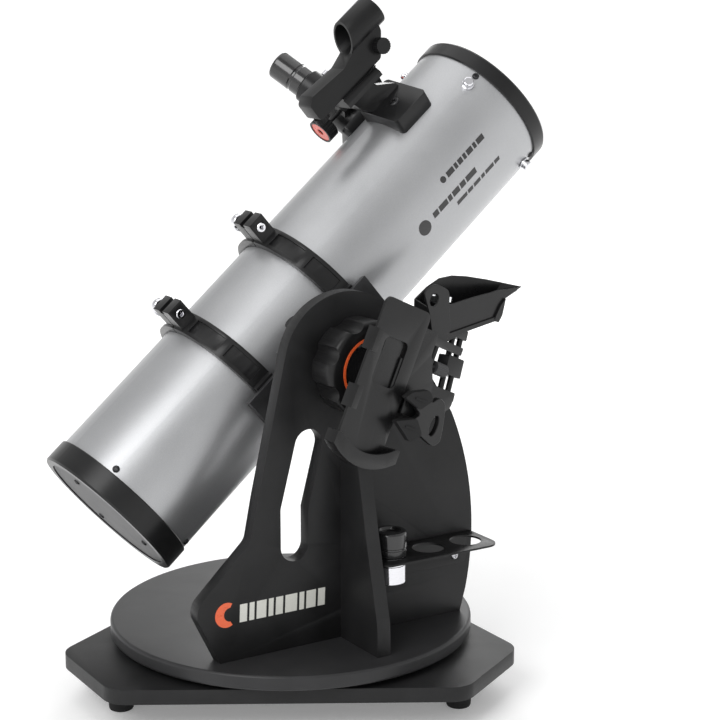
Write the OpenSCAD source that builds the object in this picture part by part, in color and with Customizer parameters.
// Tabletop Dobsonian telescope: a 130 mm reflector in two hinged tube rings, held from one
// side by an altitude bearing on a plywood rocker that turns on a three-footed ground board.
// Millimetres. +Z is up, +X is the tube's forward side, -Y is the side with the tension knob.
// The origin is on the floor, on the azimuth axis.

/* [Pointing] */
// Altitude of the tube above the horizon at rest
altitude = 40.7; // [0:0.1:90]

/* [Tube] */
// Outer radius of the optical tube
tube_r = 80; // [79:0.5:80]
// Wall of the rolled tube
tube_wall = 1.5; // [1:0.1:2]
// Rear edge of the bare tube, measured from the altitude axis
tube_rear = -225; // [-230:1:-220]
// Front edge of the bare tube, measured from the altitude axis
tube_front = 343.8; // [340:0.2:350]
// Length of the rear end ring
rear_ring_len = 25; // [24:0.3:27]
// Length of the front end ring
front_ring_len = 18; // [16:1:22]
// Outer radius of both end rings
end_ring_r = 82.3; // [81:0.1:84]
// Clear radius of the tube's mouth
aperture_r = 76; // [70:1:76]

/* [Optics] */
// Radius of the primary mirror
mirror_r = 65; // [60:1:65]
// Thickness of the primary mirror
mirror_t = 19; // [15:1:19]
// Focal length of the primary mirror
focal_len = 650; // [500:10:900]
// Half of the secondary mirror's minor axis
secondary_r = 18.5; // [15:0.5:20]
// Focuser's place along the tube
focus_s = 250.6; // [245:0.5:252]

/* [Rings] */
// Width of each tube ring
ring_w = 23.5; // [20:0.5:25]
// Radial thickness of each tube ring
ring_t = 7.6; // [6:0.2:8]
// Place of the upper ring's middle
upper_ring_s = 63.5; // [55:0.5:70]
// Place of the lower ring's middle
lower_ring_s = -59.5; // [-70:0.5:-55]

/* [Base] */
// Thickness of all the boards
board_t = 15; // [15:0.5:16]
// Radius of the turntable
turntable_r = 188; // [170:1:190]
// Inscribed radius of the ground board's three long edges
ground_long = 169; // [160:1:175]
// Distance from the axis to the ground board's three cut corners
ground_cut = 233; // [220:1:240]
// Height of the three feet
foot_h = 33; // [28:1:38]
// Gap between the ground board and the turntable
pad_gap = 5; // [5:0.5:6]
// Height of the altitude axis above the floor
pivot_z = 349.3; // [345:0.1:352]
// Radius of the side board's round top
head_r = 70; // [66:1:72]
// Outer radius of the tension knob
knob_r = 48; // [44:1:50]

/* [Accessories] */
// Radius of the eyepiece holes in the tray
tray_hole_r = 16.2; // [16:0.1:17]
// Radius of the eyepiece barrels, the 1.25 inch standard
barrel_r = 15.875; // [15.875]
// Tilt of the phone dock about the altitude axis at rest
dock_roll = 23.8; // [20:0.1:28]
// Turn of the phone dock about its long edge
dock_turn = 16.1; // [12:0.1:18]

/* [Hidden] */
$fn = 72;
fit = 0.05;                                // running clearance on shafts, and between nested parts
gap = 0.3;                                 // clearance between other moving faces
pivot_x = 8.4;
tube_y = 56;                               // tube axis, on the far side of the board
pivot = [pivot_x, 0, pivot_z];
tube_centre = [pivot_x, tube_y, pivot_z];
ground_top = foot_h + board_t;
table_z = ground_top + pad_gap;            // underside of the turntable
table_top = table_z + board_t;
board_near = -97.5;                        // side board's faces
board_far = board_near + board_t;
ring_in = tube_r + 0.4;
ring_out = ring_in + ring_t;
sleeve_r = tube_r - tube_wall - fit;       // outside of the end rings' sleeves
foot_circle = 195;
foot_turn = 59;                            // direction of one foot, seen from above
bar_near = 104;                            // dovetail bar's outer face, from the tube axis
bar_far = 92;                              // dovetail bar's inner face
bar_half = 88;
hub_near = 136.3;                          // altitude hub's outer face, from the tube axis
shaft_r = 6;
hinge_x = -(ring_out + 5);                 // ring hinge axis, below the tube
lug_in = 86;
lug_out = 111;
clamp_bolt = 100;                          // clamp bolt's distance from the tube axis
knob_face = 145.5;                         // tension knob's face, towards -Y
mirror_back = -229;
dock_centre = [11, -171, 353];
finder_rho = 130;                          // underside of the finder, from the tube axis
bracket_top = 92.4;                        // top of the finder bracket's foot
saddle_top = 86;                           // top of the focuser's foot
tray_z = 154;
tray_y = -124;
tray_x = [42, 88, 134];

// ---- frames ------------------------------------------------------------------------------

// Tube frame: X is the tube's top side, Y is the knob's side, Z runs forward along the tube.
module in_tube() translate(tube_centre) rotate([0, 90 - altitude, 0]) rotate([0, 0, 180]) children();

// A place on the tube: X runs forward, Y towards the far side, Z outwards.
module at_tube(s, phi)
    in_tube() translate([0, 0, s]) rotate([0, 0, phi]) rotate([0, 90, 0]) rotate([0, 0, 180]) children();

// Altitude axis: Z points towards the knob, Y points up, and Z = 0 is the plane Y = 0.
module on_pivot() translate(pivot) rotate([90, 0, 0]) children();

// Dock frame: X across the phone, Y along it, Z out of its screen.
module in_dock() translate(dock_centre) rotate([0, dock_roll, 0]) rotate([0, 0, dock_turn]) rotate([90, 0, 0]) children();

// ---- shared shapes -----------------------------------------------------------------------

function unit(v) = v / norm(v);
function flat(p) = [p[0], p[1]];
function turn(a, b) = let (d = b - a) d > 180 ? d - 360 : d < -180 ? d + 360 : d;

// Points round the corner b between a and c, with the radius that b carries.
function corner(a, b, c, n) =
    b[2] == 0 ? [flat(b)] :
    let (p = unit(flat(a) - flat(b)), q = unit(flat(c) - flat(b)), half = acos(p * q) / 2,
         r = b[2], m = flat(b) + unit(p + q) * r / sin(half),
         from = flat(b) + p * r / tan(half) - m, to = flat(b) + q * r / tan(half) - m,
         start = atan2(from[1], from[0]), sweep = turn(start, atan2(to[1], to[0])))
    [for (i = [0:n]) m + r * [cos(start + sweep * i / n), sin(start + sweep * i / n)]];

// A polygon whose corners are [x, y, radius].
function rounded(points, n = 12) =
    [for (i = [0:len(points) - 1])
        each corner(points[(i + len(points) - 1) % len(points)], points[i], points[(i + 1) % len(points)], n)];

module rounded_box(size, r) linear_extrude(size[2]) rounded_rectangle(size[0], size[1], r);
module rounded_rectangle(w, d, r)
    polygon(rounded([[-w / 2, -d / 2, r], [w / 2, -d / 2, r], [w / 2, d / 2, r], [-w / 2, d / 2, r]], 8));

// A ring about Z from z = from to z = to.
module pipe(r_out, r_in, from, to)
    difference() {
        translate([0, 0, from]) cylinder(r = r_out, h = to - from);
        translate([0, 0, from - 1]) cylinder(r = r_in, h = to - from + 2);
    }

module disc(r, from, to) translate([0, 0, from]) cylinder(r = r, h = to - from);

// A pan-head screw: the head stands on z = 0 and the shank goes down to -length.
module screw(head_r, head_h, shank_r, length)
    difference() {
        union() {
            rotate_extrude() polygon(concat([[0, 0], [head_r, 0]],
                [for (a = [0:15:90]) [head_r - head_h * (1 - cos(a)), head_h * sin(a)]], [[0, head_h]]));
            translate([0, 0, -length]) cylinder(r = shank_r, h = length + 0.01);
        }
        for (a = [0, 90]) rotate([0, 0, a]) translate([-head_r * 0.55, -head_r * 0.12, head_h * 0.5])
            cube([head_r * 1.1, head_r * 0.24, head_h]);
    }

// A grip with ribs cut round its edge, standing on z = 0.
module knurled(r, h, ribs, depth = 0.7)
    difference() {
        cylinder(r = r, h = h);
        for (i = [0:ribs - 1]) rotate([0, 0, i * 360 / ribs])
            translate([r + depth * 0.4, 0, -1]) cylinder(r = depth, h = h + 2, $fn = 16);
    }

// A piece of a band round Z between two directions and two radii.
module band(r_in, r_out, width, from, to)
    rotate([0, 0, from]) rotate_extrude(angle = to - from, $fn = 144)
        translate([r_in, -width / 2]) square([r_out - r_in, width]);

// A straight slot with round ends.
module slot(a, b, r) {
    along = b - a;
    for (p = [a, b]) translate(p) circle(r);
    translate(a) rotate(atan2(along[1], along[0])) translate([0, 0.02 - r]) square([norm(along), 2 * r - 0.04]);
}

black = [0.06, 0.06, 0.065];
charcoal = [0.13, 0.13, 0.14];
laminate = [0.10, 0.10, 0.105];
silver = [0.72, 0.73, 0.74];
steel = [0.62, 0.62, 0.64];
chrome = [0.85, 0.85, 0.87];
rubber = [0.05, 0.05, 0.05];

// ---- ground board ------------------------------------------------------------------------

module three() for (i = [0:2]) rotate([0, 0, foot_turn + 120 * i]) children();

// Where a long edge meets a cut corner, as seen from the foot's own direction.
function ground_corner(side) =
    let (a = 60 * side, x = ground_cut) [x, (ground_long - x * cos(a)) / sin(a)];
function turned(p, a) = [p[0] * cos(a) - p[1] * sin(a), p[0] * sin(a) + p[1] * cos(a)];

module ground_board()
    color(laminate) difference() {
        translate([0, 0, foot_h]) linear_extrude(board_t)
            polygon(rounded([for (i = [0:2], side = [-1, 1])
                let (p = turned(ground_corner(side), foot_turn + 120 * i)) [p[0], p[1], 28]], 16));
        disc(4 + fit, foot_h - 1, ground_top + 1);
        disc(11, foot_h - 1, foot_h + 6);
        three() translate([foot_circle, 0, 0]) disc(2, foot_h - 1, foot_h + 11);
    }

module feet()
    color(rubber) three() translate([foot_circle, 0, 0]) rotate_extrude()
        polygon([[5.5, 0], [10.4, 0], [11.6, 0.6], [12.3, 2], [12.6, 5], [13, foot_h - 4], [12.6, foot_h],
                 [2.2, foot_h], [2.2, 12], [5.5, 12]]);

module foot_screws()
    color(steel) three() translate([foot_circle, 0, 11.9]) rotate([180, 0, 0]) screw(4.6, 2.6, 1.95, foot_h - 2);

module azimuth_pads()
    color([0.85, 0.85, 0.82]) three() rotate([0, 0, 60]) translate([128, 0, ground_top])
        rounded_box([26, 26, pad_gap - gap], 3);

module azimuth_bolt()
    color(steel) {
        disc(8, foot_h + 0.8, foot_h + 6);
        disc(4, foot_h + 5.9, table_top + 13);
        pipe(12, 4.1, table_top + 3.5, table_top + 5);
        difference() {
            translate([0, 0, table_top + 5]) cylinder(r = 7.4, h = 7, $fn = 6);
            disc(4.1, table_top + 4, table_top + 13);
        }
    }

// ---- turntable and rocker ----------------------------------------------------------------

rocker_screws = [[-105, -90], [-30, -90], [60, -90], [125, -90], [8.4, -118], [8.4, -148]];

module turntable_board()
    color(laminate) difference() {
        rotate_extrude($fn = 180) polygon(concat([[0, table_z], [turntable_r - 3, table_z]],
            [for (a = [-90:22.5:0]) [turntable_r - 3 + 3 * cos(a), table_z + 3 + 3 * sin(a)]],
            [for (a = [0:22.5:90]) [turntable_r - 3 + 3 * cos(a), table_top - 3 + 3 * sin(a)]], [[0, table_top]]));
        disc(7 + fit, table_z - 1, table_top + 1);
        for (p = rocker_screws) translate([p[0], p[1], 0]) {
            disc(2.1, table_z - 1, table_top + 1);
            disc(5.2, table_z - 1, table_z + 4);
        }
    }

side_arc_r = 311;                          // the side board's long front edge
side_arc = [-150, 156.8];
head_turns = [167, 33];                    // where the round top meets the rear and the front edge
head_steps = 48;
slot_points = [[-51.7, 172.7], [-51.7, 209.8], [-35.1, 272.2]];
slot_r = 15.6;

module side_outline()
    polygon(rounded(concat(
        [for (i = [0:head_steps]) let (a = head_turns[0] + (head_turns[1] - head_turns[0]) * i / head_steps)
            [pivot_x + head_r * cos(a), pivot_z + head_r * sin(a), 0]],
        [for (a = [24:-2:-12]) [side_arc[0] + side_arc_r * cos(a), side_arc[1] + side_arc_r * sin(a), 0]],
        [[147.3, table_top, 0], [-135.6, table_top, 0], [-163.3, 124.7, 18], [-100.5, 184, 16], [-92, 226, 0]])));

module side_board()
    color(laminate) difference() {
        translate([0, board_far, 0]) rotate([90, 0, 0]) linear_extrude(board_t) side_outline();
        translate([0, board_far + 1, 0]) rotate([90, 0, 0]) linear_extrude(board_t + 2) {
            slot(slot_points[0], slot_points[1], slot_r);
            slot(slot_points[1], slot_points[2], slot_r);
        }
        on_pivot() disc(10 + fit, -board_far - 1, -board_near + 1);
        for (i = [0:3]) translate([rocker_screws[i][0], rocker_screws[i][1], table_top - 1]) cylinder(r = 1.85, h = 26);
        for (z = brace_screw_z) translate([pivot_x, board_far + 1, z]) rotate([90, 0, 0]) {
            cylinder(r = 2.1, h = board_t + 2);
            cylinder(r = 4.6, h = 4);
        }
    }

brace_screw_z = [100, 165, 230];

module brace_board()
    color(laminate) difference() {
        translate([pivot_x - board_t / 2, 0, 0]) rotate([90, 0, 90]) linear_extrude(board_t)
            polygon(rounded([[board_near, table_top, 0], [-166, table_top, 0], [-165, 100, 60],
                             [-143, 190, 200], [-129, 256, 8], [board_near, 266, 0]]));
        for (p = [rocker_screws[4], rocker_screws[5]]) translate([p[0], p[1], table_top - 1]) cylinder(r = 1.85, h = 26);
        for (z = brace_screw_z) translate([pivot_x, board_near + 1, z]) rotate([90, 0, 0]) cylinder(r = 1.85, h = 26);
    }

module base_screws()
    color(steel) {
        for (p = rocker_screws) translate([p[0], p[1], table_z + 3.9]) rotate([180, 0, 0]) screw(4.9, 2.8, 1.8, 34);
        for (z = brace_screw_z) translate([pivot_x, board_far - 2.9, z]) rotate([-90, 0, 0]) screw(4.3, 2.4, 1.8, 34);
    }

module bearing_bushes()
    color([0.88, 0.88, 0.84]) {
        pipe(7, 4 + fit, table_z + 0.2, table_top + 1.5);
        pipe(13, 4 + fit, table_top + 0.1, table_top + 3);
        on_pivot() {
            pipe(10, shaft_r + fit, -board_far, -board_near);
            pipe(34, shaft_r + fit, -board_far - 1.8, -board_far);
            pipe(34, shaft_r + fit, -board_near, -board_near + 1.8);
        }
    }

// ---- eyepiece tray -----------------------------------------------------------------------

module eyepiece_tray()
    color(black) difference() {
        union() {
            translate([0, 0, tray_z - 2]) linear_extrude(2)
                polygon(rounded([[18, board_near, 0], [158, board_near, 0], [158, -152.5, 14], [18, -152.5, 10]]));
            translate([0, board_near, 0]) rotate([90, 0, 0]) linear_extrude(2)
                polygon(rounded([[18, tray_z, 0], [18, 121, 8], [153, 121, 8], [153, tray_z, 0]]));
        }
        for (x = tray_x) translate([x, tray_y, 0]) disc(tray_hole_r, tray_z - 3, tray_z + 1);
        for (x = [32, 138]) translate([x, board_near + 1, 130]) rotate([90, 0, 0]) cylinder(r = 2.1, h = 5);
    }

module tray_screws()
    color(steel) for (x = [32, 138]) translate([x, board_near - 2, 130]) rotate([90, 0, 0]) screw(4.2, 2.2, 1.9, 1.9);

// An eyepiece standing on its shoulder at z = 0, with its barrel below and its eye lens on top.
module barrel_shape(length)
    rotate_extrude() polygon([[barrel_r - 1.4, -length], [barrel_r - 0.3, -length], [barrel_r, -length + 0.6],
        [barrel_r, -9], [barrel_r - 0.5, -8.5], [barrel_r - 0.5, -4.5], [barrel_r, -4], [barrel_r, 0],
        [12, 0], [12, -length + 3], [barrel_r - 1.4, -length + 3]]);

module eyepiece_shape(h, r, eye_r)
    rotate_extrude() polygon(concat([[0, 2], [12.5, 2], [12.5, 0.05], [r - 0.8, 0.05], [r, 0.9], [r, h * 0.28],
        [r - 0.7, h * 0.31], [r - 0.7, h * 0.36], [r, h * 0.39]],
        [for (a = [0:15:90]) [r - 3 * (1 - cos(a)), h - 3 + 3 * sin(a)]],
        [[eye_r, h], [eye_r - 1.5, h - 2.5], [0, h - 2.5]]));

module spare_barrel() color(chrome) translate([tray_x[0], tray_y, tray_z + gap]) barrel_shape(27);
module spare_housing() color(black) translate([tray_x[0], tray_y, tray_z + gap]) eyepiece_shape(26, 17, 11);

// ---- tube and optics ---------------------------------------------------------------------

quarters = [45, 135, 225, 315];
nut_s = 327;

module tube_shell()
    color(silver) difference() {
        in_tube() pipe(tube_r, tube_r - tube_wall, tube_rear, tube_front, $fn = 180);
        at_tube(focus_s, -45) disc(19, 70, 90);
        bracket_screw_place() disc(2.5, 70, 90);
        focuser_screw_places() disc(1.7, 70, 90);
        for (a = quarters) {
            at_tube(nut_s, a) disc(2.2, 70, 90);
            at_tube(tube_front - 4.2, a) disc(2.1, 70, 90);
            at_tube(tube_rear + 5.2, a) disc(2.1, 70, 90);
        }
    }

module front_ring()
    color(black) difference() {
        in_tube() rotate_extrude($fn = 180) polygon([[aperture_r - 0.8, tube_front - 9], [sleeve_r, tube_front - 9],
            [sleeve_r, tube_front + 0.05], [end_ring_r - 0.6, tube_front + 0.05], [end_ring_r, tube_front + 0.8],
            [end_ring_r, tube_front + front_ring_len - 2], [end_ring_r - 1.4, tube_front + front_ring_len],
            [aperture_r + 1.2, tube_front + front_ring_len], [aperture_r, tube_front + front_ring_len - 1.2],
            [aperture_r, tube_front - 1], [aperture_r - 0.8, tube_front - 2]]);
        for (a = quarters) at_tube(tube_front - 4.2, a) disc(1.85, 70, 90);
    }

rear_edge = tube_rear - rear_ring_len;
web = -243;                                // back of the rear ring's web

module rear_ring()
    color(black) difference() {
        in_tube() {
            rotate_extrude($fn = 180) polygon([[sleeve_r - 3, tube_rear + 10], [sleeve_r, tube_rear + 10],
                [sleeve_r, tube_rear - 0.05], [end_ring_r - 0.6, tube_rear - 0.05], [end_ring_r, tube_rear - 0.8],
                [end_ring_r, rear_edge + 2], [end_ring_r - 1.4, rear_edge], [72.4, rear_edge], [72.4, rear_edge + 3],
                [sleeve_r - 3, rear_edge + 4.5]]);
            difference() {
                pipe(sleeve_r - 2, 26, web, web + 4);
                for (i = [0:2]) rotate([0, 0, 14 + 120 * i]) rotate_extrude(angle = 62) translate([34, web - 1]) square([32, 6]);
            }
            for (a = [90, 210, 330]) rotate([0, 0, a]) translate([52, 0, 0]) disc(8, web, web + 4);
        }
        in_tube() for (a = [90, 210, 330]) rotate([0, 0, a]) translate([52, 0, 0]) disc(2.7, web - 1, web + 6);
        in_tube() for (a = [5, 125, 245]) rotate([0, 0, a]) translate([52, 0, 0]) disc(2.2, web - 1, web + 6);
        for (a = quarters) at_tube(tube_rear + 5.2, a) disc(1.85, 70, 90);
    }

module bracket_screw_place() at_tube(262, 11) translate([0, -6, 0]) children();
module focuser_screw_places()
    at_tube(focus_s, -45) for (x = [-23, 23], y = [-23, 23]) translate([x, y, 0]) children();

// Screws that hold the end rings, the rear cover, the finder bracket, the focuser and the bar.
module tube_screws()
    color([0.16, 0.16, 0.17]) {
        for (a = quarters) {
            at_tube(tube_front - 4.2, a) translate([0, 0, tube_r + 0.05]) screw(3.7, 2.3, 1.8, 4.5);
            at_tube(tube_rear + 5.2, a) translate([0, 0, tube_r + 0.05]) screw(3.7, 2.3, 1.8, 4.5);
        }
        in_tube() for (a = [5, 125, 245]) rotate([0, 0, a]) translate([52, 0, rear_edge + 1.2]) rotate([180, 0, 0])
            screw(3.4, 1.9, 1.8, 11);
        bracket_screw_place() translate([0, 0, bracket_top + 0.05]) screw(5.6, 2, 2.4, 15);
        focuser_screw_places() translate([0, 0, saddle_top + 0.05]) screw(3.2, 1.8, 1.6, 11.5);
        for (s = [upper_ring_s, lower_ring_s]) in_tube() translate([0, bar_near - 4.95, s]) rotate([-90, 0, 0])
            screw(4.4, 2.4, 2.2, 13);
    }

module rear_cover()
    color([0.2, 0.2, 0.21]) difference() {
        in_tube() disc(72, rear_edge + 1.25, rear_edge + 3.2);
        in_tube() for (a = [5, 125, 245]) rotate([0, 0, a]) translate([52, 0, 0]) disc(1.9, rear_edge, rear_edge + 5);
    }

module primary_mirror() {
    sag = mirror_r * mirror_r / (4 * focal_len);
    color(chrome) difference() {
        in_tube() disc(mirror_r, mirror_back, mirror_back + mirror_t);
        in_tube() translate([0, 0, mirror_back + mirror_t - sag + 2 * focal_len]) sphere(r = 2 * focal_len, $fn = 200);
    }
}

// The mirror's cell: a cup with three clips over the mirror's edge.
module mirror_cell()
    color(charcoal) in_tube() difference() {
        union() {
            pipe(69.5, mirror_r + 0.15, mirror_back - 0.05, mirror_back + 14);
            pipe(69.5, 20, mirror_back - 4, mirror_back - 0.05);
            for (a = [30, 150, 270]) rotate([0, 0, a]) {
                translate([mirror_r + 0.4, -6, mirror_back + 13]) cube([4, 12, mirror_t - 12.9]);
                translate([mirror_r - 3.5, -6, mirror_back + mirror_t + 0.1]) cube([7.9, 12, 1.6]);
            }
        }
        for (a = [90, 210, 330]) rotate([0, 0, a]) translate([52, 0, 0]) disc(2.55, mirror_back - 5, mirror_back + 1);
    }

module collimation_screws()
    color(steel) in_tube() for (a = [90, 210, 330]) rotate([0, 0, a]) translate([52, 0, 0]) {
        translate([0, 0, web - 3.1]) knurled(5.2, 3, 20, 0.5);
        disc(2.5, web - 0.2, mirror_back - 0.6);
    }

// Three coil springs, each swept round its screw.
spring_turns = 3;
function spring_point(t, z0, z1) = [3.9 * cos(360 * spring_turns * t), 3.9 * sin(360 * spring_turns * t), z0 + (z1 - z0) * t];
module spring(z0, z1) {
    steps = 20 * spring_turns;
    sides = 6;
    wire = 0.55;
    rings = [for (i = [0:steps]) let (t = i / steps, a = 360 * spring_turns * t, c = spring_point(t, z0 + wire, z1 - wire))
        for (k = [0:sides - 1]) let (b = 360 * k / sides) c + wire * [cos(b) * cos(a), cos(b) * sin(a), sin(b)]];
    walls = [for (i = [0:steps - 1], k = [0:sides - 1]) let (n = (k + 1) % sides)
        each [[i * sides + k, (i + 1) * sides + k, (i + 1) * sides + n], [i * sides + k, (i + 1) * sides + n, i * sides + n]]];
    polyhedron(rings, concat(walls, [[for (k = [0:sides - 1]) k]],
        [[for (k = [sides - 1:-1:0]) steps * sides + k]]));
}

module collimation_springs()
    color(steel) in_tube() for (a = [90, 210, 330]) rotate([0, 0, a]) translate([52, 0, 0])
        spring(web + 4, mirror_back - 4);

module spider()
    color(black) union() {
        in_tube() difference() {
            disc(12.5, nut_s - 9, nut_s + 9);
            disc(2.6, nut_s - 10, nut_s + 10);
            for (a = [0, 120, 240]) rotate([0, 0, a]) translate([8, 0, 0]) disc(1.6, nut_s - 10, nut_s + 10);
        }
        for (a = quarters) at_tube(nut_s, a) {
            translate([-6, -0.5, 12]) cube([12, 1, tube_r - tube_wall - 12.7]);
            disc(1.95, tube_r - 9, tube_r + 4.5);
        }
    }

module spider_nuts()
    color(chrome) for (a = quarters) at_tube(nut_s, a) difference() {
        translate([0, 0, tube_r + 0.3]) rotate_extrude() polygon(concat([[0, 0], [6.6, 0], [6.6, 1.2], [5.7, 1.6], [5.7, 5.4]],
            [for (a = [0:15:90]) [3.7 + 2 * cos(a), 5.4 + 2.4 * sin(a)]], [[0, 7.8]]));
        disc(2, tube_r - 1, tube_r + 5);
    }

module diagonal_slab(from, to) rotate([0, 45, 0]) translate([from, -45, -45]) cube([to - from, 90, 90]);

module secondary_mirror()
    color(chrome) at_tube(focus_s, -45) intersection() {
        rotate([0, 90, 0]) cylinder(r = secondary_r, h = 90, center = true);
        diagonal_slab(0, 5);
    }

module secondary_holder()
    color(black) at_tube(focus_s, -45) {
        intersection() {
            translate([-25, 0, 0]) rotate([0, 90, 0]) cylinder(r = secondary_r - 1.5, h = 65);
            diagonal_slab(5.02, 90);
        }
        translate([39.9, 0, 0]) rotate([0, 90, 0]) cylinder(r = 2.5, h = nut_s + 12 - focus_s - 40);
        translate([39.9, 0, 0]) rotate([0, 90, 0]) cylinder(r = 9, h = 6);
        for (a = [0, 120, 240]) rotate([0, 90, 0]) rotate([0, 0, a - 135]) translate([8, 0, 46.2])
            cylinder(r = 1.5, h = nut_s + 12 - focus_s - 46.2);
        translate([nut_s - focus_s + 9.1, 0, 0]) rotate([0, 90, 0]) pipe(5, 2.4, 0, 3.5);
    }

// ---- tube rings --------------------------------------------------------------------------

module ring_lug(side, bore)
    difference() {
        translate([lug_in - 0.5, side > 0 ? 0.8 : -16.8, -9.5]) {
            cube([lug_out - lug_in - 4, 16, 19]);
            translate([0, side > 0 ? 3 : 0, 0]) cube([lug_out - lug_in, 13, 19]);
        }
        translate([clamp_bolt, 0, 0]) rotate([90, 0, 0]) cylinder(r = bore, h = 60, center = true);
        if (side > 0) translate([clamp_bolt, 13, 0]) rotate([-90, 0, 0]) cylinder(r = 5.1, h = 6);
    }

// The fixed half of a ring, on the knob's side, with its foot on the dovetail bar.
module ring_half(s)
    in_tube() translate([0, 0, s]) difference() {
        union() {
            band(ring_in, ring_out, ring_w, 0.6, 176);
            ring_lug(1, 3.6);
            translate([-20, bar_far - 8, 0.5 - ring_w / 2]) cube([40, 8, ring_w - 1]);
            translate([hinge_x, 0, -3.7]) cylinder(r = 5, h = 7.4);
            translate([hinge_x, 0, -3.7]) cube([8.5, 8, 7.4]);
        }
        for (a = [[16, 42], [48, 72], [110, 134], [140, 164]]) band(ring_out - 2.2, ring_out + 2, ring_w - 8, a[0], a[1]);
        translate([hinge_x, 0, -20]) cylinder(r = 2.4 + fit, h = 40);
        translate([0, bar_far + 1, 0]) rotate([90, 0, 0]) cylinder(r = 2.25, h = 8);
    }

// The swinging half of a ring, hinged below the tube.
module clamp_half(s)
    in_tube() translate([0, 0, s]) difference() {
        union() {
            band(ring_in, ring_out, ring_w, 186, 359.4);
            ring_lug(-1, 2.4 + fit);
            for (side = [-1, 1]) {
                translate([hinge_x, 0, side * 7.9 - 3.85]) cylinder(r = 5, h = 7.7);
                translate([hinge_x, -10, side * 7.9 - 3.85]) cube([9, 10, 7.7]);
            }
        }
        for (a = [[196, 222], [228, 254], [286, 312], [318, 344]]) band(ring_out - 2.2, ring_out + 2, ring_w - 8, a[0], a[1]);
        translate([hinge_x, 0, -20]) cylinder(r = 2.4 + fit, h = 40);
    }

module upper_ring() color(black) ring_half(upper_ring_s);
module lower_ring() color(black) ring_half(lower_ring_s);
module upper_clamp() color(black) clamp_half(upper_ring_s);
module lower_clamp() color(black) clamp_half(lower_ring_s);

// Hinge pins, and the captive nuts in the fixed lugs.
module ring_hardware()
    color(chrome) in_tube() for (s = [upper_ring_s, lower_ring_s]) {
        translate([hinge_x, 0, s - ring_w / 2 - 0.6]) cylinder(r = 2.4, h = ring_w + 1.2);
        translate([clamp_bolt, 13.1, s]) rotate([-90, 0, 0]) rotate_extrude()
            polygon([[2.1, 0], [5, 0], [5, 4], [4.4, 4.8], [2.9, 4.8], [2.9, 3.6], [2.1, 3.6]]);
    }

// A domed knob on its bolt, screwed through the clamp's lug.
module clamp_knob(s)
    color(chrome) in_tube() translate([clamp_bolt, -16.8 - gap, s]) rotate([90, 0, 0]) {
        rotate_extrude() polygon(concat([[0, 0], [6.5, 0], [6.5, 2.5], [5.2, 3.4], [5.2, 7]],
            [for (a = [-60:15:60]) [7 + 2.6 * cos(a), 12 + 4.6 * sin(a)]],
            [for (a = [15:15:90]) [8 * cos(a), 16 + 8 * sin(a)]]));
        translate([0, 0, -28]) cylinder(r = 2.4, h = 29);
    }

module upper_clamp_knob() clamp_knob(upper_ring_s);
module lower_clamp_knob() clamp_knob(lower_ring_s);

// ---- altitude bearing --------------------------------------------------------------------

module bar_section(grow) polygon([[-17.5 - grow, bar_far - grow], [17.5 + grow, bar_far - grow],
                                  [22 + grow, bar_near + grow / 2], [-22 - grow, bar_near + grow / 2]]);

module dovetail_bar()
    color(charcoal) in_tube() difference() {
        translate([0, 0, -bar_half]) linear_extrude(2 * bar_half) bar_section(0);
        for (s = [upper_ring_s, lower_ring_s]) translate([0, bar_near + 1, s]) rotate([90, 0, 0]) {
            cylinder(r = 5, h = 6);
            cylinder(r = 2.3, h = 20);
        }
        for (s = [-30, 30]) translate([-6, bar_far - 1, s - 18]) cube([12, 3.5, 36]);
    }

module altitude_saddle()
    color(black) in_tube() difference() {
        union() {
            translate([0, 0, -33]) linear_extrude(66)
                polygon(rounded([[-33, 95, 2], [33, 95, 2], [36, 118, 3], [-36, 118, 3]], 4));
            rotate([-90, 0, 0]) disc(39, 112, hub_near);
        }
        translate([0, 0, -50]) linear_extrude(100) bar_section(0.1);
        translate([-18, 90, -50]) cube([36, 6, 100]);
        rotate([-90, 0, 0]) disc(shaft_r + fit, 100, hub_near + 1);
        translate([20, 100, 0]) rotate([0, 90, 0]) cylinder(r = 3 + fit, h = 20);
    }

// The thumbscrew that clamps the bar in its saddle.
module saddle_screw()
    color(charcoal) in_tube() translate([0, 100, 0]) rotate([0, 90, 0]) {
        disc(3, 23, 41);
        translate([0, 0, 36]) knurled(8.5, 10, 18, 0.8);
    }

module altitude_shaft()
    color(steel) on_pivot() disc(shaft_r, 49, 156);

module tension_knob()
    color(black) on_pivot() difference() {
        rotate_extrude($fn = 96) polygon(concat([[0, 99.6], [24, 99.6], [24, 104], [knob_r - 6, 106], [knob_r - 1, 110]],
            [for (a = [0:15:90]) [knob_r - 6 + 6 * cos(a), knob_face - 6 + 6 * sin(a)]], [[0, knob_face]]));
        for (i = [0:7]) rotate([0, 0, 22.5 + 45 * i]) translate([knob_r + 4.5, 0, 95]) cylinder(r = 10.5, h = 60, $fn = 48);
        disc(shaft_r + fit, 90, 160);
        disc(33.6, knob_face - 4, knob_face + 1);
    }

module knob_ring()
    color([0.95, 0.38, 0.2]) on_pivot() pipe(33.5, 31.2, knob_face - 3.9, knob_face + 0.8);

module knob_cap()
    color(black) on_pivot() rotate_extrude() polygon(concat([[shaft_r + 3, knob_face - 3.9], [31.1, knob_face - 3.9]],
        [for (a = [0:15:90]) [28.1 + 3 * cos(a), knob_face - 2.6 + 1.6 * sin(a)]], [[shaft_r + 3, knob_face - 0.6]]));

// ---- focuser -----------------------------------------------------------------------------

draw_r = 16.9;
housing_r = 20;
pinion_y = -(draw_r + 6.3);
pinion_z = 104;

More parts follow.
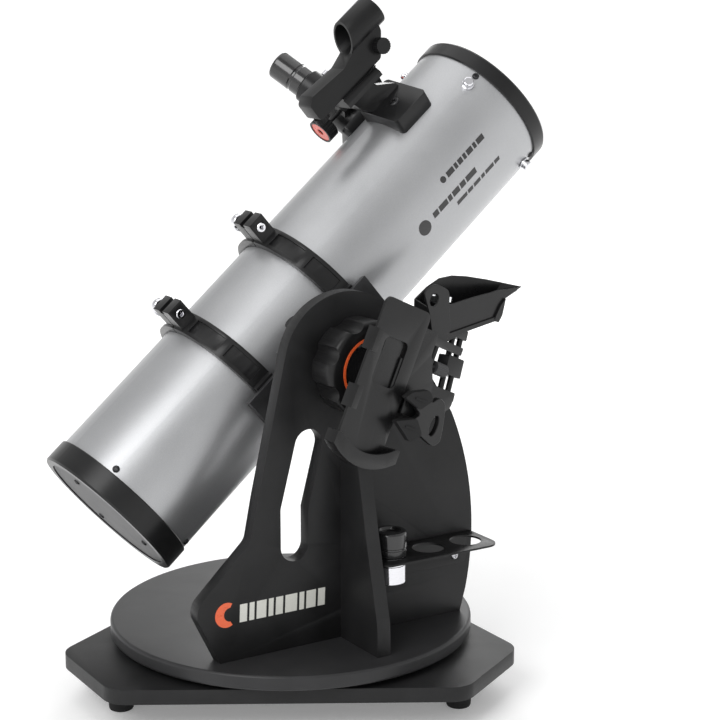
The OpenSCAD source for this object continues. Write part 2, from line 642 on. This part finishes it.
// Tube saddle with the housing that the drawtube slides in.
module focuser_base()
    color(black) difference() {
        at_tube(focus_s, -45) {
            translate([0, 0, 70]) rounded_box([58, 58, saddle_top - 70], 6);
            disc(housing_r + 4, 70, 90);
            disc(housing_r, 70, 133);
            translate([-11, pinion_y - 6, pinion_z - 7]) cube([22, 20, 14]);
        }
        at_tube(focus_s, -45) {
            disc(draw_r + fit, 60, 140);
            translate([-30, pinion_y, pinion_z]) rotate([0, 90, 0]) cylinder(r = 2 + fit, h = 60);
            translate([-6.2, pinion_y, pinion_z]) rotate([0, 90, 0]) cylinder(r = 6, h = 12.4);
            translate([-2.8, -draw_r - 2.8, 70]) cube([5.6, 5, 70]);
        }
        focuser_screw_places() disc(1.7, 70, 90);
        in_tube() disc(tube_r + 0.05, 200, 300, $fn = 144);
    }

rack_pitch = 2.5;
pinion_teeth = 12;
pinion_r = rack_pitch * pinion_teeth / (2 * PI);

// The drawtube, with its rack along one side and its collar for the eyepiece.
module drawtube()
    color([0.1, 0.1, 0.11]) at_tube(focus_s, -45) difference() {
        union() {
            disc(draw_r, 84, 158);
            rotate_extrude() polygon([[draw_r - 1, 141], [draw_r + 1.4, 141], [19.3, 144], [19.3, 160.5], [18.4, 161.5], [draw_r - 1, 161.5]]);
            translate([-2.4, -draw_r - 0.6, 86]) cube([4.8, 1.6, 50]);
            for (i = [-6.5:11.5]) translate([-2.4, -draw_r - 0.5, pinion_z + rack_pitch * i]) rotate([90, 0, 90])
                linear_extrude(4.8) polygon([[0, -0.5], [0, 0.5], [-1.8, 0.3], [-1.8, -0.3]]);
        }
        disc(barrel_r + fit, 120, 170);
        disc(barrel_r - 1.6, 80, 130);
        translate([0, 0, 153]) rotate([90, 0, 90]) cylinder(r = 2 + fit, h = 40);
    }

// Pinion and shaft with a knob at each end.
module focus_shaft()
    color(black) at_tube(focus_s, -45) translate([0, pinion_y, pinion_z]) rotate([0, 90, 0]) {
        disc(2, -42, 42);
        difference() {
            disc(pinion_r + 0.75, -2.2, 2.2);
            for (i = [0:pinion_teeth - 1]) rotate([0, 0, (i + 0.5) * 360 / pinion_teeth])
                translate([pinion_r - 0.9, -0.9, -3]) cube([3, 1.8, 6]);
        }
        for (side = [0, 1]) mirror([0, 0, side]) translate([0, 0, 31]) difference() {
            knurled(14.5, 13, 30, 0.9);
            disc(12.2, 11, 14);
        }
    }

module focus_knob_faces()
    color([0.9, 0.35, 0.33]) at_tube(focus_s, -45) translate([0, pinion_y, pinion_z]) rotate([0, 90, 0])
        for (side = [0, 1]) mirror([0, 0, side]) pipe(12.1, 4, 42.05, 43.4);

module eyepiece_thumbscrew()
    color(chrome) at_tube(focus_s, -45) translate([0, 0, 153]) rotate([0, 90, 0]) {
        disc(2, barrel_r + 0.3, 21);
        translate([0, 0, 20]) knurled(5.2, 6.5, 18, 0.5);
    }

module eyepiece_barrel() color(chrome) at_tube(focus_s, -45) translate([0, 0, 161.8]) barrel_shape(24);
module eyepiece_housing() color(black) at_tube(focus_s, -45) translate([0, 0, 161.8]) eyepiece_shape(42, 16.4, 10);

// ---- finder ------------------------------------------------------------------------------

// Points in the tube's upright middle plane: x runs forward and y outwards.
module side_plate(points, half) at_tube(0, 0) translate([0, half, 0]) rotate([90, 0, 0])
    linear_extrude(2 * half) polygon(rounded(points, 6));

module finder_bracket()
    color(black) difference() {
        union() {
            at_tube(263, 11) translate([0, 0, 60]) rounded_box([48, 64, bracket_top - 60], 5);
            side_plate([[246, 86, 2], [286, 86, 2], [282, 97, 4], [262, 112, 8], [262, 119, 0], [228, 119, 0], [233, 104, 8]], 9);
            at_tube(247.5, 0) translate([-26, 0, 0]) rotate([90, 0, 90]) linear_extrude(52)
                polygon([[-15, 117], [15, 117], [15, 122], [11, 127], [15, 129.6], [-15, 129.6], [-11, 127], [-15, 122]]);
        }
        in_tube() cylinder(r = tube_r + 0.05, h = 400, $fn = 144);
        bracket_screw_place() disc(2.5, 70, 110);
    }

hood_s = [256, 314];
hood_slant = 26;                           // the hood's rear opening leans forward towards its top
hood_rho = 170;

module finder_body()
    color(black) difference() {
        union() {
            side_plate([[188, finder_rho, 4], [284, finder_rho, 6], [303, 152, 10], [306, 168, 4], [276, 168, 6], [262, 157, 16],
                        [243, 152, 10], [196, 156, 6], [188, 150, 4]], 12.5);
            at_tube(0, 0) difference() {
                translate([hood_s[0], 0, hood_rho]) rotate([0, 90, 0]) cylinder(r = 17.2, h = hood_s[1] - hood_s[0]);
                translate([276, 0, 188]) rotate([0, hood_slant, 0]) translate([-60, -30, -60]) cube([60, 60, 90]);
            }
        }
        at_tube(0, 0) {
            translate([hood_s[0] - 20, 0, hood_rho]) rotate([0, 90, 0]) cylinder(r = 14.4, h = 80);
            translate([291, 6, 141]) rotate([90, 0, 0]) cylinder(r = 2 + fit, h = 30);
            translate([196, 0, 129]) cylinder(r = 2 + fit, h = 12);
        }
    }

module finder_window()
    color([0.6, 0.75, 0.8, 0.5]) at_tube(0, 0) translate([hood_s[1] - 8, 0, hood_rho]) rotate([0, 90, 0]) disc(14.3, 0, 1.8);

module finder_switch()
    color(charcoal) at_tube(0, 0) translate([291, -12.8, 141]) rotate([90, 0, 0]) {
        knurled(8.6, 8, 20, 0.7);
        disc(2, -14, 0.1);
    }

module finder_dial()
    color(charcoal) at_tube(0, 0) translate([196, 0, finder_rho - 0.3]) rotate([180, 0, 0]) {
        knurled(8.5, 5.5, 20, 0.7);
        disc(2, -9, 0.1);
    }

// ---- phone dock --------------------------------------------------------------------------

frame_z = [-10.5, -7];                     // the dock frame's plate, behind the phone
plate_z = [-6.7, -4.3];                    // the platform that the phone lies on
wheel_y = 20;                              // platform wheel's axis
wheel_z = -12;
rail_lean = -8;                            // the rails lean back towards their top

// Frame: the post on the altitude shaft, the back plate, and the rails that carry the hood.
module dock_frame()
    color(charcoal) difference() {
        union() {
            difference() {
                on_pivot() disc(9.5, knob_face + 1, 165);
                in_dock() translate([-20, -20, frame_z[1] - 0.1]) cube([40, 40, 20]);
            }
            in_dock() {
                translate([0, 0, frame_z[0]]) linear_extrude(frame_z[1] - frame_z[0])
                    polygon(rounded([[-26, -42, 6], [44, -42, 6], [100, -26, 10], [118, -12, 8], [118, 2, 6],
                                     [78, 4, 8], [60, 30, 10], [60, 52, 6], [-26, 52, 6]], 6));
                translate([100, -6, -12]) rotate([rail_lean, 0, 0]) {
                    for (x = [0, 13]) translate([x, 0, 0]) rotate([-90, 0, 0]) cylinder(r = 3, h = 74, $fn = 32);
                    translate([-6, 0, -5]) rounded_bar(25, 9, 10);
                    translate([-4, 62, -5]) rounded_bar(21, 10, 10);
                    translate([-6, 24, -7]) rounded_bar(26, 19, 13);
                }
                translate([70, 2, -13]) rotate([-90, 0, 0]) cylinder(r = 3, h = 44, $fn = 32);
                translate([52, 40, -16]) rounded_bar(56, 8, 7);
                translate([56, 13, -16]) rounded_bar(12, 14, 8);
            }
        }
        on_pivot() disc(shaft_r + fit, 140, 156.1);
        in_dock() {
            translate([0, 0, hood_back - 4]) linear_extrude(-10.9 - hood_back + 4) polygon(rounded(hood_floor, 8));
            for (x = [-16, 16]) translate([x - 2, -30, frame_z[0] - 1]) cube([4, 66, 6]);
            translate([50, wheel_y, wheel_z]) rotate([0, 90, 0]) cylinder(r = 2 + fit, h = 30);
            translate([80, -22, frame_z[0] - 1]) cylinder(r = 2 + fit, h = 8);
        }
    }

module rounded_bar(w, l, t) translate([w / 2, l / 2, 0]) rounded_box([w, l, t], 1.5);

// The hood: a flared box over the mirror, open to the sky and towards the phone's camera.
hood_floor = [[20, 84, 6], [44, 64, 8], [56, 44, 4], [97, 62, 3], [134, 86, 4], [125, 104, 3], [158, 126, 1], [62, 98, 40]];
hood_back = -40;
module dock_hood()
    color(black) in_dock() {
        difference() {
            translate([0, 0, -13]) linear_extrude(2) polygon(rounded(hood_floor, 8));
            translate([40, 80, -14]) cylinder(r = 6.5, h = 4);
        }
        difference() {
            translate([0, 0, hood_back]) linear_extrude(-12.5 - hood_back) polygon(rounded(hood_floor, 8));
            translate([0, 0, hood_back + 2]) linear_extrude(40) offset(delta = -2) polygon(rounded(hood_floor, 8));
            translate([104, 92, hood_back - 4]) rotate([0, 0, 24]) cube([80, 60, 60]);
        }
    }

module dock_mirror()
    color(chrome) in_dock() translate([62, 66, hood_back + 3]) rotate([0, 0, 18]) rotate([0, 40, 0]) cube([1.5, 20, 26]);

// The platform with its curved lower jaw and its left-hand rest.
module dock_platform()
    color(charcoal) in_dock() difference() {
        union() {
            translate([0, 0, plate_z[0]]) linear_extrude(plate_z[1] - plate_z[0]) difference() {
                translate([0, -4]) rounded_rectangle(72, 140, 8);
                translate([0, 8]) rounded_rectangle(36, 46, 6);
            }
            intersection() {
                difference() {
                    translate([0, 0, plate_z[0]]) cylinder(r = 94, h = 13, $fn = 96);
                    translate([0, 0, plate_z[1]]) cylinder(r = 83, h = 8.6, $fn = 96);
                    translate([0, 0, plate_z[1]]) cylinder(r = 79.5, h = 60, $fn = 96);
                }
                translate([-50, -100, -20]) cube([98, 32, 60]);
            }
            for (y = [-44, 12]) translate([-44.5, y, plate_z[0]]) {
                cube([4, 22, 13]);
                translate([0, 0, 0]) cube([12, 22, 2.4]);
                translate([0, 0, 11.5]) cube([8, 22, 1.5]);
            }
            for (x = [-16, 16]) translate([x - 1.6, -22, frame_z[0] + 0.3]) cube([3.2, 38, 5]);
        }
    }

// The forked jaw that closes on the phone's edge, with its slide under the platform's side.
module side_jaw()
    color(charcoal) in_dock() {
        translate([40, -34, plate_z[0] + 1.5]) rounded_bar(38, 22, 3);
        translate([66, -36, plate_z[0] + 1.5]) rounded_bar(14, 26, 12);
        translate([0, 0, 4.5]) linear_extrude(3) for (k = [[24, -13], [28, -44]])
            slot([71, -23], k, 4);
        for (k = [[24, -13], [28, -44]]) translate([k[0], k[1], 4.4]) cylinder(r = 5, h = 4.4, $fn = 32);
    }

module jaw_wheel()
    color([0.5, 0.5, 0.52]) in_dock() translate([80, -22, frame_z[0]]) rotate([180, 0, 0]) {
        translate([0, 0, gap]) knurled(9, 8, 24, 0.8);
        disc(2, -3.4, gap + 0.1);
    }

module platform_wheel()
    color([0.5, 0.5, 0.52]) in_dock() translate([60, wheel_y, wheel_z]) rotate([0, 90, 0]) {
        disc(2, 0, 16);
        translate([0, 0, 15]) knurled(6.5, 18.5, 24, 0.6);
    }

// ---- build -------------------------------------------------------------------------------

ground_board();
feet();
foot_screws();
azimuth_pads();
azimuth_bolt();
turntable_board();
side_board();
brace_board();
base_screws();
bearing_bushes();
eyepiece_tray();
tray_screws();
spare_barrel();
spare_housing();
tube_shell();
front_ring();
rear_ring();
tube_screws();
rear_cover();
primary_mirror();
mirror_cell();
collimation_screws();
collimation_springs();
spider();
spider_nuts();
secondary_holder();
secondary_mirror();
upper_ring();
lower_ring();
upper_clamp();
lower_clamp();
ring_hardware();
upper_clamp_knob();
lower_clamp_knob();
dovetail_bar();
altitude_saddle();
saddle_screw();
altitude_shaft();
tension_knob();
knob_ring();
knob_cap();
focuser_base();
drawtube();
focus_shaft();
focus_knob_faces();
eyepiece_thumbscrew();
eyepiece_barrel();
eyepiece_housing();
finder_bracket();
finder_body();
finder_window();
finder_switch();
finder_dial();
dock_frame();
dock_hood();
dock_mirror();
dock_platform();
side_jaw();
platform_wheel();
jaw_wheel();
